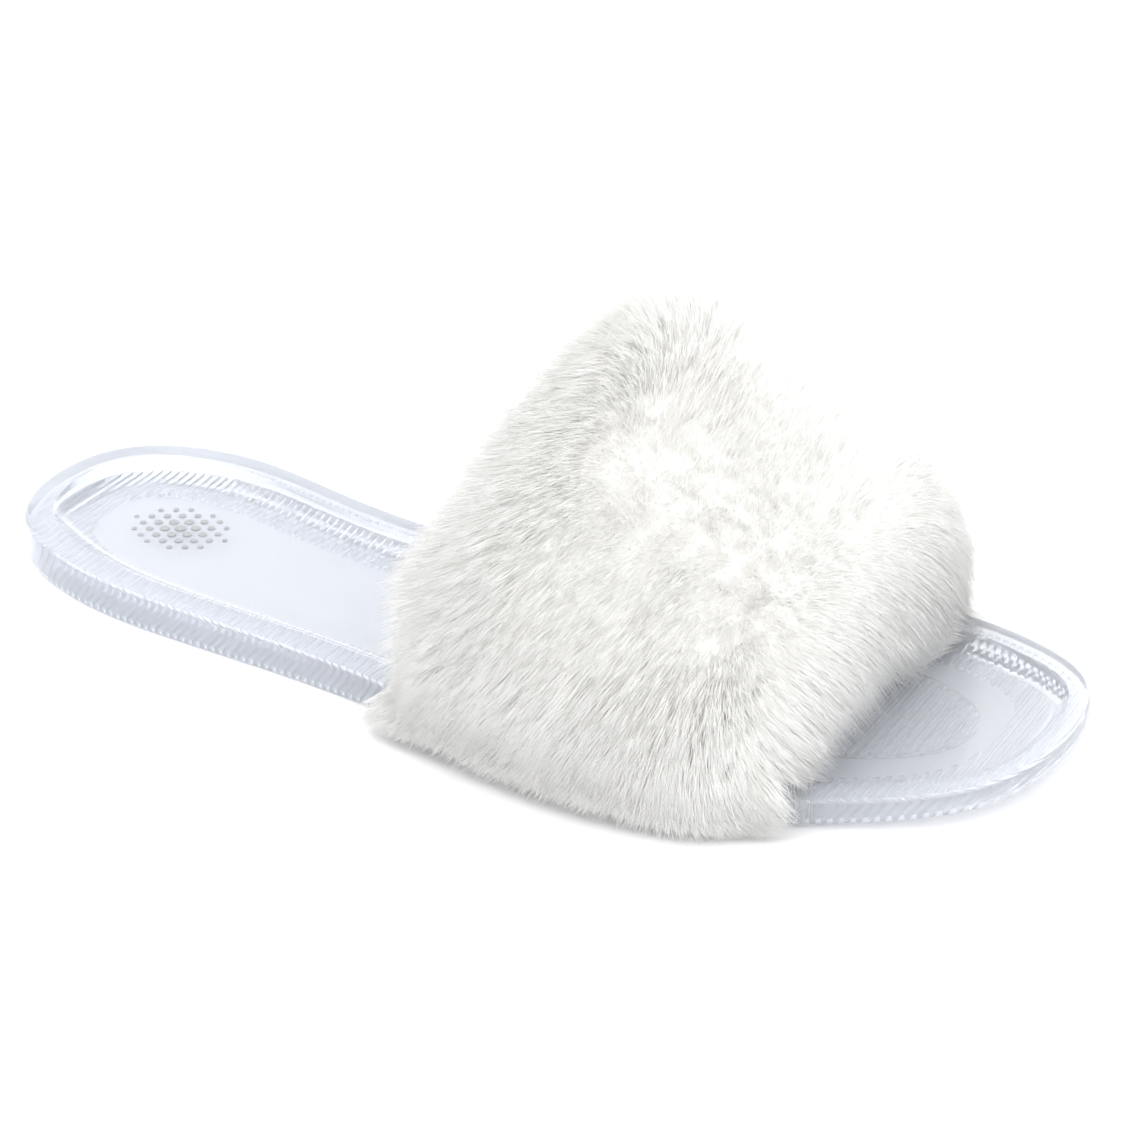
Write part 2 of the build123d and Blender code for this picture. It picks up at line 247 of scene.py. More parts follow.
def build_sole(material):
    x0 = OUT[:, 0]
    band, run = wall_params(x0)
    rings = []            # (points (N,2), heights (N,)) from the outside bottom edge up and over the rim
    bottom_in = inset(BAND_OUT - 0.6)
    # bottom edge, rounded
    rings.append((bottom_in, spring(bottom_in[:, 0])))
    for d, h in ((0.75, 0.0), (0.42, 0.06), (0.18, 0.22), (0.05, 0.5)):
        p = inset(d)
        rings.append((p, spring(p[:, 0]) + h))
    # side wall, very slightly crowned
    for k in range(1, 8):
        w = k / 8.0
        p = inset(0.22 * (2 * w - 1) ** 2 - 0.10)
        lo, hi = spring(p[:, 0]) + 0.6, rim_z(p[:, 0]) - 0.9
        rings.append((p, lo + (hi - lo) * w))
    # rounded top edge of the rim
    for d, h in ((0.06, -0.7), (0.2, -0.36), (0.48, -0.12), (0.9, -0.015), (1.4, 0.0)):
        p = inset(d)
        rings.append((p, rim_z(p[:, 0]) + h))
    # flat rim band with a shallow dip, then a small lip before the wall
    for w in (0.25, 0.45, 0.65, 0.82, 0.92, 0.975):
        d = 1.4 + (band - 1.4) * w
        p = OUT + INWARD * d[:, None]
        lip = -0.10 * math.sin(math.pi * min(w / 0.92, 1.0)) + (0.06 if w > 0.9 else 0.0)
        rings.append((p, rim_z(p[:, 0]) + lip))
    # sloping, hollow inner wall down to the footbed
    steps = np.r_[0.0, 0.03, 0.07, 0.13, np.linspace(0.2, 1.0, 15), 1.08]
    for s in steps:
        d = band + run * s
        p = OUT + INWARD * d[:, None]
        u = np.clip(s, 0, 1)
        drop = 1.0 - (1.0 - u) ** 2.3
        rings.append((p, rim_z(p[:, 0]) + (floor_z(p[:, 0]) - rim_z(p[:, 0])) * drop - (0.02 if s == 0 else 0)))
    # footbed: rings closing on the sole's spine
    last = rings[-1][0]
    spine = np.c_[np.clip(last[:, 0], 34.0, 226.0), np.interp(last[:, 0], [0, 40, 115, 200, 226, 260], [1.5, 1.5, -7.0, 1.0, 4.0, 4.0])]
    flat = []
    for w in (0.06, 0.15, 0.3, 0.5, 0.7, 0.86, 0.96):
        p = last + (spine - last) * w
        flat.append((p, floor_z(p[:, 0]) - 0.12 * smoothstep(0, 0.8, w)))
    rings += flat
    verts = np.vstack([to_m(p[:, 0], p[:, 1], z) for p, z in rings])
    n = N_OUT
    faces = []
    idx = np.arange(n)
    nxt = (idx + 1) % n
    for r in range(len(rings) - 1):
        a, b = r * n, (r + 1) * n
        faces += [(int(a + i), int(a + j), int(b + j), int(b + i)) for i, j in zip(idx, nxt)]
    # close the spine: join opposite vertices through a strip
    base = (len(rings) - 1) * n
    ring_last = rings[-1][0]
    # fill the thin remaining slit with a constrained triangulation
    _, _, tri, orig, _, _ = delaunay_2d_cdt([Vector(p) for p in ring_last], [(int(i), int(j)) for i, j in zip(idx, nxt)], [], 1, 1e-7)
    # map back (points may be merged, so only original ones are used)
    ok = [o[0] if o else None for o in orig]
    print("spine strip", len(ring_last), "triangles", len(tri), "kept vertices", sum(v is not None for v in ok), len(ok))
    for f in tri:
        ids = [ok[v] for v in f]
        if None in ids or len(set(ids)) < 3:
            continue
        faces.append(tuple(int(base + v) for v in ids))

    # ---- underside: transverse ribs in the edge band and in the ball pad
    edge_ring = bottom_in
    in_ring = inset(BAND_IN)
    out_ring = inset(BAND_OUT)
    pad_ring = periodic_spline(PAD, 160)

    def spans(poly, x):
        """y values where the closed line crosses x."""
        a, b = poly, np.roll(poly, -1, 0)
        m = (a[:, 0] - x) * (b[:, 0] - x) < 0
        t = (x - a[m, 0]) / (b[m, 0] - a[m, 0])
        return np.sort(a[m, 1] + t * (b[m, 1] - a[m, 1]))

    pts, edges, in_faces, kinds = [], [], [], []

    def polygon(poly, kind):
        start, m = len(pts), len(poly)
        pts.extend([tuple(p) for p in poly])
        turn = sum(poly[i][0] * poly[(i + 1) % m][1] - poly[(i + 1) % m][0] * poly[i][1] for i in range(m))
        loop = list(range(start, start + m))
        in_faces.append(loop if turn > 0 else loop[::-1])
        kinds.append(kind)

    polygon(edge_ring, "all")
    polygon(in_ring[::3], "recess")
    polygon(pad_ring, "pad")
    k = 0
    x = 4.0
    while x + RIB_W < 255.6:
        xa, xb = x, x + RIB_W
        oa, ob, ia, ib = (spans(q, v) for q, v in ((out_ring, xa), (out_ring, xb), (in_ring, xa), (in_ring, xb)))
        if len(oa) == 2 and len(ob) == 2:
            if len(ia) == 2 and len(ib) == 2:
                polygon([(xa, oa[0]), (xb, ob[0]), (xb, ib[0] + 0.25), (xa, ia[0] + 0.25)], "groove")
                polygon([(xa, ia[1] - 0.25), (xb, ib[1] - 0.25), (xb, ob[1]), (xa, oa[1])], "groove")
            else:
                polygon([(xa, oa[0]), (xb, ob[0]), (xb, ob[1]), (xa, oa[1])], "groove")
        pa, pb = spans(pad_ring, xa), spans(pad_ring, xb)
        if len(pa) == 2 and len(pb) == 2:
            polygon([(xa, pa[0] + 0.7), (xb, pb[0] + 0.7), (xb, pb[1] - 0.7), (xa, pa[1] - 0.7)], "padgroove")
        x += RIB_PITCH
        k += 1
    # extra points so that the recess follows the toe's curve
    for gx in np.arange(192.0, 244.0, 3.0):
        for gy in np.arange(-32.0, 36.0, 6.0):
            pts.append((float(gx), float(gy)))
    v2, _, f2, ov, _, of_ = delaunay_2d_cdt([Vector(p) for p in pts], edges, in_faces, 1, 1e-6)
    level = []
    keep = []
    for f, of1 in zip(f2, of_):
        names = {kinds[i] for i in of1}
        if "all" not in names:
            continue
        deep = ("groove" in names and "pad" not in names) or ("recess" in names and "pad" not in names) or "padgroove" in names
        keep.append(tuple(f))
        level.append(1 if deep else 0)
    V = list(verts)
    ring_of = {}          # input index -> vertex of the first ring
    index = {}
    first = {}
    for i, o in enumerate(ov):
        for q in o:
            if q < N_OUT:
                first[i] = q

    def vid(i, lv):
        key = (i, lv)
        if key not in index:
            if lv == 0 and i in first:
                index[key] = first[i]
            else:
                x_, y_ = v2[i]
                index[key] = len(V)
                V.append(to_m(x_, y_, float(spring(x_)) + (RIB_DEEP if lv else 0.0)))
        return index[key]

    bottom_faces = []
    side = {}
    for f, lv in zip(keep, level):
        ids = [vid(i, lv) for i in f]
        area = sum(v2[f[a]][0] * v2[f[(a + 1) % len(f)]][1] - v2[f[(a + 1) % len(f)]][0] * v2[f[a]][1] for a in range(len(f)))
        if area > 0:
            ids = ids[::-1]
        bottom_faces.append(tuple(ids))
        for a in range(len(f)):
            i, j = f[a], f[(a + 1) % len(f)]
            side.setdefault((min(i, j), max(i, j)), []).append((lv, (i, j) if area > 0 else (j, i)))
    for (i, j), s in side.items():
        if len(s) == 2 and s[0][0] != s[1][0]:
            low = s[0] if s[0][0] == 0 else s[1]
            a, b = low[1]
            bottom_faces.append((vid(a, 0), vid(b, 0), vid(b, 1), vid(a, 1)))
    n_top = len(faces)
    faces += bottom_faces
    obj = new_object("sole_clear_moulding", V, faces, material, smooth=False)
    mesh = obj.data
    flags = np.zeros(len(mesh.polygons), bool)
    flags[:n_top] = True
    mesh.polygons.foreach_set("use_smooth", flags)
    bm = bmesh.new()
    bm.from_mesh(mesh)
    bmesh.ops.remove_doubles(bm, verts=bm.verts, dist=1e-7)
    bmesh.ops.recalc_face_normals(bm, faces=bm.faces)
    bm.to_mesh(mesh)
    bad = [e for e in bm.edges if len(e.link_faces) != 2]
    open_edges = len(bad)
    if bad:
        zs = np.array([v.co[:] for e in bad for v in e.verts])
        print("open edges between", zs.min(0), zs.max(0), {len(e.link_faces) for e in bad})
    bm.free()
    print("sole mesh: faces", len(mesh.polygons), "edges not shared by two faces", open_edges)
    mesh.set_sharp_from_angle(angle=math.radians(38))
    return obj


clear = Mat("clear_plastic")
clear.set(Base_Color=(0.92, 0.937, 0.972, 1), Roughness=0.07, IOR=1.42, Transmission_Weight=0.76)
absorb = clear.node("ShaderNodeVolumeAbsorption")
absorb.inputs["Color"].default_value = (0.50, 0.68, 1.0, 1)
absorb.inputs["Density"].default_value = 9.0
clear.link(absorb.outputs["Volume"], clear.out.inputs["Volume"])
sole = build_sole(clear.m)
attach(sole, "root")
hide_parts("sole_unit")

# ------------------------------------------------------------------ strap surface
FUR_COUNT = 230000
STRAP_BACK, STRAP_LEN = 130.0, 73.0
TILT_BACK, TILT_FRONT = 26.0, 15.0
RISE_BACK, RISE_MID, RISE_FRONT = 75.4, 52.3, 27.8
ARCH_POWER = 2.5
LINING_T, CORE_T, FOAM_T, BACKING_T, GAP = 1.0, 1.6, 2.5, 1.0, 0.05
S_LO, S_HI, S_N = -0.48, 1.32, 181
A_LO, A_HI, A_N = -0.12, 1.12, 497


def edge_lines():
    """Near and far outline y as functions of x."""
    i0, i1 = int(np.argmin(OUT[:, 0])), int(np.argmax(OUT[:, 0]))
    if i0 < i1:
        one, two = OUT[i0:i1 + 1], np.vstack([OUT[i1:], OUT[:i0 + 1]])
    else:
        one, two = np.vstack([OUT[i0:], OUT[:i1 + 1]]), OUT[i1:i0 + 1]
    one, two = one[np.argsort(one[:, 0])], two[np.argsort(two[:, 0])]
    return (one, two) if one[:, 1].mean() < two[:, 1].mean() else (two, one)


NEAR, FAR = edge_lines()


def rise(s):
    return RISE_BACK * (1 - s) * (1 - 2 * s) + RISE_MID * 4 * s * (1 - s) + RISE_FRONT * s * (2 * s - 1)


def surface_tables():
    S = np.linspace(S_LO, S_HI, S_N)
    A = np.linspace(A_LO, A_HI, A_N)
    P = np.zeros((S_N, A_N, 3))
    M = np.zeros((S_N, A_N, 3))
    L = np.zeros(S_N)
    ang = np.linspace(0, math.pi, 2401)
    for i, s in enumerate(S):
        bx = STRAP_BACK + STRAP_LEN * s
        lean = math.radians(TILT_BACK - (TILT_BACK - TILT_FRONT) * s)
        x = min(max(bx, 60.0), 225.0)
        near = np.interp(x, NEAR[:, 0], NEAR[:, 1]) + 0.3
        far = np.interp(x, FAR[:, 0], FAR[:, 1]) - 0.3
        c, h = (near + far) / 2, (far - near) / 2
        across = -np.sign(np.cos(ang)) * np.abs(np.cos(ang)) ** (2 / ARCH_POWER)
        up = np.sin(ang) ** (2 / ARCH_POWER)
        line = np.c_[c + across * h + 1.9 * up, up * float(rise(s))]
        seg = np.r_[0.0, np.cumsum(np.linalg.norm(np.diff(line, axis=0), axis=1))]
        L[i] = seg[-1]
        q = A * seg[-1]
        y = np.interp(q, seg, line[:, 0])
        v = np.interp(q, seg, line[:, 1])
        v = np.where(q < 0, q, np.where(q > seg[-1], seg[-1] - q, v))
        e = 1.5
        y0, y1 = np.interp(q - e, seg, line[:, 0]), np.interp(q + e, seg, line[:, 0])
        v0, v1 = np.interp(q - e, seg, line[:, 1]), np.interp(q + e, seg, line[:, 1])
        dy, dv = y1 - y0, v1 - v0
        out = (q < 1.5) | (q > seg[-1] - 1.5)
        dy = np.where(out, np.where(q < 1.5, np.clip(q / 1.5, 0, 1) * dy, np.clip((seg[-1] - q) / 1.5, 0, 1) * dy), dy)
        dv = np.where(q < 0, 1.0, np.where(q > seg[-1], -1.0, dv))
        n = np.hypot(dy, dv)
        ny, nv = -dv / n, dy / n
        P[i] = np.c_[bx + v * math.sin(lean), y, rim_z(bx) + v * math.cos(lean)]
        M[i] = np.c_[nv * math.sin(lean), ny, nv * math.cos(lean)]
    return S, A, P, M, L


S_TAB, A_TAB, P_TAB, M_TAB, L_TAB = surface_tables()


def lookup(table, s, a):
    fs = np.clip((s - S_LO) / (S_HI - S_LO) * (S_N - 1), 0, S_N - 1.001)
    fa = np.clip((a - A_LO) / (A_HI - A_LO) * (A_N - 1), 0, A_N - 1.001)
    i, j = fs.astype(int), fa.astype(int)
    u, w = (fs - i)[..., None], (fa - j)[..., None]
    return (table[i, j] * (1 - u) + table[i + 1, j] * u) * (1 - w) + (table[i, j + 1] * (1 - u) + table[i + 1, j + 1] * u) * w


def on_strap(s, a, t):
    """Point in outline coordinates (mm) at station s, arch share a, offset t outwards."""
    s, a, t = np.broadcast_arrays(np.asarray(s, float), np.asarray(a, float), np.asarray(t, float))
    return lookup(P_TAB, s, a) + lookup(M_TAB, s, a) * t[..., None]


def hide_in_model(p):
    return np.stack([(p[..., 0] - SX) * MM, (p[..., 1] - SY) * MM, p[..., 2] * MM], -1)


ENV_S = [-0.40, -0.33, -0.22, -0.12, 0.0, 0.25, 0.5, 0.75, 1.0, 1.12, 1.21, 1.24]
ENV_T = [5.0, 9.5, 13.5, 16.0, 17.8, 18.5, 18.0, 18.0, 17.2, 13.5, 5.5, 2.5]


def env(s):
    return np.interp(s, ENV_S, ENV_T)


class Lattice:
    """Smooth seeded noise in two dimensions, about -1 to 1."""

    def __init__(self, seed, cell_s, cell_a):
        r = np.random.default_rng(seed)
        self.ns, self.na = int(2.0 / cell_s) + 4, int(1.6 / cell_a) + 4
        self.cs, self.ca = cell_s, cell_a
        self.g = r.uniform(-1, 1, (self.ns, self.na))

    def __call__(self, s, a):
        fs, fa = (np.asarray(s) + 0.5) / self.cs, (np.asarray(a) + 0.3) / self.ca
        fs, fa = np.clip(fs, 0, self.ns - 2.001), np.clip(fa, 0, self.na - 2.001)
        i, j = fs.astype(int), fa.astype(int)
        u, w = fs - i, fa - j
        u, w = u * u * (3 - 2 * u), w * w * (3 - 2 * w)
        g = self.g
        return (g[i, j] * (1 - u) + g[i + 1, j] * u) * (1 - w) + (g[i, j + 1] * (1 - u) + g[i + 1, j + 1] * u) * w


def keep_clear(p):
    """Keeps fur points over the floor and outside the sole. p in outline coordinates, mm."""
    x, y, z = p[..., 0], p[..., 1], p[..., 2]
    near = np.interp(x, NEAR[:, 0], NEAR[:, 1])
    far = np.interp(x, FAR[:, 0], FAR[:, 1])
    rim = rim_z(x)
    inside = (y > near) & (y < far) & (z < rim + 0.5)
    depth_near, depth_far, up = y - near, far - y, rim + 0.5 - z
    side = inside & (np.minimum(depth_near, depth_far) < 2.5 * up)
    y = np.where(side & (depth_near <= depth_far), near - 0.5, y)
    y = np.where(side & (depth_near > depth_far), far + 0.5, y)
    z = np.where(inside & ~side, rim + 0.5, z)
    z = np.maximum(z, 0.5)
    return np.stack([x, y, z], -1)


# ------------------------------------------------------------------ fur
def fur_material(name, root, tip, rough):
    m = Mat(name)
    uv = m.node("ShaderNodeUVMap", uv_map="OFBake")
    sep = m.node("ShaderNodeSeparateXYZ")
    m.link(uv.outputs["UV"], sep.inputs["Vector"])
    base = m.ramp(sep.outputs["Y"], [(0.0, root), (0.55, tuple((a + 2 * b) / 3 for a, b in zip(root, tip))), (1.0, tip)])
    tone = m.node("ShaderNodeTexNoise", noise_dimensions="1D")
    tone.inputs["Scale"].default_value = 37.0
    tone.inputs["Detail"].default_value = 2.0
    m.link(sep.outputs["X"], tone.inputs["W"])
    shade = m.ramp(tone.outputs["Fac"], [(0.3, (0.99, 0.989, 0.985)), (0.7, (1.0, 1.0, 1.0))])
    mix = m.node("ShaderNodeMix", data_type="RGBA", blend_type="MULTIPLY")
    mix.inputs["Factor"].default_value = 1.0
    m.link(base, mix.inputs["A"])
    m.link(shade, mix.inputs["B"])
    m.link(mix.outputs["Result"], m.p.inputs["Base Color"])
    m.set(Roughness=rough, Specular_IOR_Level=0.25, Sheen_Weight=0.35, Sheen_Roughness=0.5)
    m.p.inputs["Sheen Tint"].default_value = (1.0, 1.0, 0.99, 1)
    return m.m


LUMP_T, LUMP_S, LUMP_A = Lattice(3, 0.17, 0.075), Lattice(4, 0.22, 0.09), Lattice(5, 0.22, 0.09)
FINE_T = Lattice(6, 0.05, 0.02)


def length_at(s):
    return np.interp(s, S_TAB, L_TAB)


def tip_of(s0, a0):
    """Where fibres rooted at (s0, a0) end: station, arch share, offset."""
    L = length_at(s0)
    edge = np.minimum(a0, 1 - a0) * L
    s1 = s0 - (0.345 - np.where(a0 < 0.5, 0.31, 0.20) * smoothstep(44, 8, edge)) * (np.clip(0.30 - s0, 0, 1) / 0.30) ** 2 + (0.215 + 0.06 * smoothstep(0.5, 0.8, a0)) * (0.78 + 0.22 * smoothstep(2, 16, edge)) * (np.clip(s0 - 0.70, 0, 1) / 0.30) ** 2
    s1 = s1 + 0.016 * LUMP_S(s0, a0) - 0.03 * smoothstep(0.45, 0.1, a0) * smoothstep(0.9, 0.3, s0)
    q0, r0 = a0 * L, (1 - a0) * L
    fall_near = 6.5 * smoothstep(75, 20, q0) + 3.5 * smoothstep(20, 2, q0)
    fall_far = 6.0 * smoothstep(75, 20, r0) + 3.5 * smoothstep(20, 2, r0)
    q1 = np.clip(q0 - fall_near + fall_far + 1.8 * LUMP_A(s0, a0), -5.6, L + 5.6)
    a1 = q1 / length_at(s1)
    t1 = env(s1) * (1.0 + 0.075 * LUMP_T(s0, a0))
    low = np.minimum(q1, L - q1)
    t1 = t1 * (1 - (0.42 + 0.16 * (a0 < 0.5)) * smoothstep(20, -6, low))
    t1 = t1 * (1 + 0.16 * smoothstep(0.6, 0.95, s0) * smoothstep(0.6, 0.75, a0) + 0.07 * smoothstep(0.4, 0.1, s0) * smoothstep(0.2, 0.35, a0))
    return s1, a1, t1


def clump_field(rng, spacing):
    cs, ca = [], []
    for k, s in enumerate(np.arange(-0.01, 1.02, spacing / STRAP_LEN)):
        L = float(length_at(s))
        m = int(L / spacing)
        a = (np.arange(m) + 0.5 * (k % 2) + 0.25) / m
        cs.append(s + rng.uniform(-0.4, 0.4, m) * spacing / STRAP_LEN)
        ca.append(a + rng.uniform(-0.4, 0.4, m) * spacing / L)
    return np.concatenate(cs), np.concatenate(ca)


def nearest(cs, ca, s0, a0):
    from mathutils.kdtree import KDTree
    L = 195.0
    tree = KDTree(len(cs))
    for i, (s, a) in enumerate(zip(cs, ca)):
        tree.insert((s * STRAP_LEN, a * L, 0.0), i)
    tree.balance()
    return np.array([tree.find((x * STRAP_LEN, y * L, 0.0))[1] for x, y in zip(s0, a0)])


def make_strands(count, seed, pull, spacing, width, u_start, spread=0.0):
    """Fibre centre lines, (count, 4, 3) in mm."""
    rng = np.random.default_rng(seed)
    s0 = np.concatenate([rng.uniform(0.0, 1.0, int(count * 0.60)), 0.20 * rng.uniform(0, 1, int(count * 0.20)) ** 1.6,
                         1 - 0.18 * rng.uniform(0, 1, int(count * 0.20)) ** 1.5])
    keep = rng.uniform(0, 1, len(s0)) < length_at(s0) / L_TAB.max()
    s0 = s0[keep]
    a0 = rng.uniform(0.0, 1.0, len(s0))
    extra = rng.uniform(0, 1, len(s0)) < 0.17
    a0 = np.where(extra, np.where(rng.uniform(0, 1, len(s0)) < 0.6, 0.09 * rng.uniform(0, 1, len(s0)), 1 - 0.09 * rng.uniform(0, 1, len(s0))), a0)
    n = len(s0)
    s1, a1, t1 = tip_of(s0, a0)
    cs, ca = clump_field(rng, spacing)
    who = nearest(cs, ca, s0, a0)
    m = len(cs)
    ts, ta, tt = tip_of(np.clip(cs, 0, 1), np.clip(ca, 0, 1))
    ts = ts + rng.normal(0, 1.1, m) / STRAP_LEN
    ta = ta + rng.normal(0, 1.1, m) / 195.0
    k_len = 1.0 + rng.normal(0, 0.045, m)
    hold = np.clip(pull + rng.normal(0, 0.12, m), 0, 0.9)[who]
    s1 = s1 + (ts[who] - s1) * hold + rng.normal(0, 0.8, n) / STRAP_LEN
    a1 = a1 + (ta[who] - a1) * hold + rng.normal(0, 0.8, n) / 195.0
    f = k_len[who] * (1.02 - 0.20 * rng.uniform(0, 1, n) ** 2.2 + rng.normal(0, 0.012, n))
    t1 = t1 * f
    bend_s, bend_a = rng.normal(0, 0.7, n) / STRAP_LEN, rng.normal(0, 0.7, n) / 195.0
    front = smoothstep(0.84, 1.0, s0)
    droop = 1.6 + (3.5 + 9.5 * smoothstep(0.35, 0.7, a0) * smoothstep(1.0, 0.9, a0)) * front + 1.0 * smoothstep(0.2, 0.0, s0)
    foot = np.minimum(a0, 1 - a0) * length_at(s0)
    t1 = t1 - 4.5 * smoothstep(0.93, 1.0, s0) * smoothstep(4, 16, foot)
    low_edge = (smoothstep(0.085, 0.0, s0) + smoothstep(0.93, 1.0, s0)) * smoothstep(3, 14, foot)
    t1 = t1 - (0.15 + rng.uniform(0, 1, n)) * 12.5 * low_edge
    # the lowest fibres splay and end unevenly
    low = smoothstep(16, 3, foot)
    s1 = s1 + rng.normal(0, 1, n) * low * 2.3 / STRAP_LEN
    t1 = t1 * (1 + low * rng.uniform(-0.30, 0.45, n))
    t1 = np.where(foot < 12, np.maximum(t1, 4.0 + 3.5 * rng.uniform(0, 1, n)), t1)
    L1 = length_at(s1)
    stop = 0.8 + 4.6 * rng.uniform(0, 1, n) ** 1.3
    a1 = np.clip(a1, -stop / L1, 1 + stop / L1)
    pts = []
    for u in np.linspace(u_start, 1.0, 4):
        su = s0 + (s1 - s0) * u ** 1.5 + bend_s * math.sin(math.pi * u)
        au = a0 + (a1 - a0) * u ** 1.6 + bend_a * math.sin(math.pi * u)
        p = on_strap(su, au, 0.4 + (t1 - 0.4) * u ** (0.92 + 0.25 * low_edge))
        p[:, 2] -= droop * (1 - 0.6 * low) * u * u
        pts.append(keep_clear(p))
    return np.stack(pts, 1), rng.uniform(0, 1, n), width * rng.uniform(0.8, 1.2, n)


def strands_to_pieces(name, lines, tone, width, material, per_piece=11500):
    """Tapered three-sided fibres, split into pieces."""
    order = np.argsort(lines[:, -1, 0] + 0.0 * lines[:, -1, 1], kind="stable")
    lines, tone, width = lines[order], tone[order], width[order]
    made = []
    for part, lo in enumerate(range(0, len(lines), per_piece)):
        C, T, W = lines[lo:lo + per_piece], tone[lo:lo + per_piece], width[lo:lo + per_piece]
        n = len(C)
        d = np.gradient(C, axis=1)
        d /= np.linalg.norm(d, axis=2, keepdims=True) + 1e-9
        ref = np.tile(np.array([0.31, 0.17, 0.93]), (n, 1))
        x = np.cross(d[:, 0], ref)
        x /= np.linalg.norm(x, axis=1, keepdims=True) + 1e-9
        rings = []
        for k, taper in ((0, 1.0), (1, 0.95), (2, 0.70)):
            xk = x - d[:, k] * np.sum(x * d[:, k], axis=1, keepdims=True)
            xk /= np.linalg.norm(xk, axis=1, keepdims=True) + 1e-9
            yk = np.cross(d[:, k], xk)
            for j in range(3):
                ang = 2 * math.pi * j / 3
                rings.append(C[:, k] + (xk * math.cos(ang) + yk * math.sin(ang)) * (0.5 * taper * W)[:, None])
        V = np.stack([*rings, C[:, 3]], 1)            # (n, 10, 3)
        V[..., 2] = np.maximum(V[..., 2], 0.15)
        tri = []
        for k in range(2):
            for j in range(3):
                a, b = 3 * k + j, 3 * k + (j + 1) % 3
                c, e = a + 3, b + 3
                tri += [(a, b, e), (a, e, c)]
        for j in range(3):
            tri.append((6 + j, 6 + (j + 1) % 3, 9))
        tri.append((0, 2, 1))
        tri = np.array(tri)
        F = (np.arange(n)[:, None, None] * 10 + tri[None]).reshape(-1, 3)
        obj = fast_mesh(f"{name}_{part:02d}", hide_in_model(V).reshape(-1, 3), F, material)
        uv = obj.data.uv_layers.new(name="OFBake")
        vlocal = np.array([0.04] * 3 + [0.36] * 3 + [0.70] * 3 + [0.96])
        per_vertex_v = np.tile(vlocal, n)
        per_vertex_u = np.repeat(0.02 + 0.96 * T, 10)
        loop_v = np.empty(len(obj.data.loops), np.int32)
        obj.data.loops.foreach_get("vertex_index", loop_v)
        UV = np.stack([per_vertex_u[loop_v], per_vertex_v[loop_v]], 1).astype(np.float32)
        corner = np.tile(np.array([-1.0, 1.0, 0.0]) * 0.004, len(UV) // 3)
        UV[:, 0] = np.clip(UV[:, 0] + corner, 0, 1)
        uv.data.foreach_set("uv", UV.ravel())
        made.append(obj)
    return made


def build_undercoat(material):
    ns, na = 112, 320
    s = np.linspace(-0.075, 1.045, ns)
    q = np.linspace(-2.8, 0, 12, endpoint=False)
    share = np.linspace(0, 1, na)
    outer = np.zeros((ns, na + 24, 3))
    inner = np.zeros_like(outer)
    rng = np.random.default_rng(2)
    grain = rng.normal(0, 1, (ns, na + 24))
    for i, si in enumerate(s):
        L = float(length_at(si))
        a = np.concatenate([q / L, share, 1 - q[::-1] / L])
        low = np.minimum(a, 1 - a) * L
        t = 0.71 * env(si) * math.sqrt(max(1 - max((0.12 - si) / 0.198, (si - 0.88) / 0.168, 0.0) ** 2.2, 0.02)) * (1 + 0.08 * LUMP_T(np.full_like(a, si), a) + 0.05 * FINE_T(np.full_like(a, si), a)) * (1 - 0.80 * smoothstep(30, 1, low))
        t = t + 0.12 * grain[i]
        p = on_strap(np.full_like(a, si), a, t)
        p[:, 2] -= 0.8
        outer[i] = keep_clear(p)
        sj = float(np.clip(si, -0.012, 1.012))
        b = np.clip(a, 0.003, 0.997)
        inner[i] = on_strap(np.full_like(a, sj), b, np.full_like(a, 0.9))
    n_a = outer.shape[1]
    V = np.vstack([outer.reshape(-1, 3), inner.reshape(-1, 3)])
    off = ns * n_a
    F = []
    for i in range(ns - 1):
        for j in range(n_a - 1):
            a, b, c, d = i * n_a + j, i * n_a + j + 1, (i + 1) * n_a + j + 1, (i + 1) * n_a + j
            F.append((a, b, c, d))
            F.append((off + a, off + d, off + c, off + b))
    rim = [(0, j) for j in range(n_a)] + [(i, n_a - 1) for i in range(1, ns)] + [(ns - 1, j) for j in range(n_a - 2, -1, -1)] + [(i, 0) for i in range(ns - 2, 0, -1)]
    for (i0, j0), (i1, j1) in zip(rim, rim[1:] + rim[:1]):
        a, b = i0 * n_a + j0, i1 * n_a + j1
        F.append((b, a, off + a, off + b))
    obj = new_object("fur_undercoat", hide_in_model(V), F, material)
    bm = bmesh.new()
    bm.from_mesh(obj.data)
    bmesh.ops.remove_doubles(bm, verts=bm.verts, dist=1e-6)
    bmesh.ops.recalc_face_normals(bm, faces=bm.faces)
    bm.to_mesh(obj.data)
    bm.free()
    return obj


under = Mat("fur_undercoat")
vec = under.coords((1, 1, 1))
# painted shade: the undercoat's colour sits darker than the fibres to show the depth among them; the noise adds random
# tone
undercoat_tone_and_depth_shade = under.ramp(under.noise(vec, 900.0, 4.0, 0.6), [(0.30, (0.90, 0.895, 0.88)), (0.70, (0.96, 0.955, 0.945))])
under.link(undercoat_tone_and_depth_shade, under.p.inputs["Base Color"])
under.set(Roughness=0.95, Specular_IOR_Level=0.1, Sheen_Weight=0.3, Sheen_Roughness=0.6)
under.bump(under.noise(vec, 1400.0, 4.0, 0.7), 0.6, 0.0006)
undercoat = build_undercoat(under.m)

fur_mat = fur_material("faux_fur", (0.95, 0.945, 0.93), (0.992, 0.99, 0.978), 0.85)
lines, tone, width = make_strands(FUR_COUNT, 21, 0.34, 1.4, 0.15, 0.46)
fur_pieces = strands_to_pieces("fur_strands", lines, tone, width, fur_mat)
print("fur fibres", len(lines), "pieces", len(fur_pieces))
for piece in [undercoat, *fur_pieces]:
    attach(piece, "root")
    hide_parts("fur_pile")

